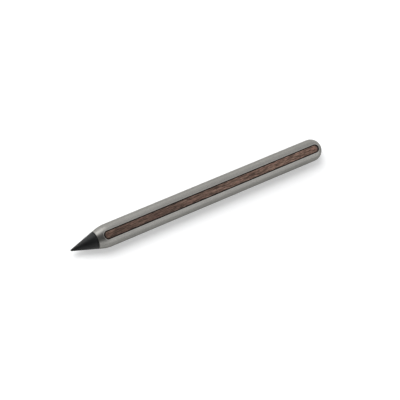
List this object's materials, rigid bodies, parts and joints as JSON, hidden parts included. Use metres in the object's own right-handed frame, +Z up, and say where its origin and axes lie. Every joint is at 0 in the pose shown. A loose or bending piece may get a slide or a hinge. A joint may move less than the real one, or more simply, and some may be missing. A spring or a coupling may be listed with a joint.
{
  "type": "inkless metal pencil",
  "caption": "Slim round inkless pencil: satin metal barrel with a domed rear end, a long wood inlay let into its top, and a matte black conical writing tip that unscrews.",
  "frame": {"origin": "the middle of the pencil's length, under its axis, on the surface that it lies on", "axes": "+X along the pencil from the writing point to the domed rear end, +Z up through the wood inlay"},
  "size_m": [0.155, 0.012, 0.0119],
  "materials": {
    "satin_metal": "bead-blasted satin",
    "inlay_wood": "oiled dark brown, fine lengthwise grain",
    "bond_film": "dark cured film",
    "tip_alloy": "matte black writing alloy",
    "stud_steel": "turned",
    "insert_brass": "turned",
    "ring_rubber": "matte black"
  },
  "bodies": {
    "pencil_body": {"barrel": "satin_metal", "wood_inlay": "inlay_wood", "inlay_adhesive": "bond_film", "threaded_insert": "insert_brass"},
    "sealing_ring": {"tip_o_ring": "ring_rubber"},
    "tip_unit": {"writing_tip": "tip_alloy", "tip_stud": "stud_steel"}
  },
  "joints": [
    {"name": "tip_travel", "type": "slide", "parent": "pencil_body", "child": "sealing_ring", "axis": [-1, 0, 0], "range_m": [0, 0.0056]},
    {"name": "tip_turn", "type": "hinge", "parent": "sealing_ring", "child": "tip_unit", "pos_m": [-0.06349, 0, 0.006], "axis": [-1, 0, 0], "range_deg": [0, 2880]}
  ],
  "couplings": [
    {"joint": "tip_turn", "follows": "tip_travel", "rad_per_m": 8976}
  ]
}
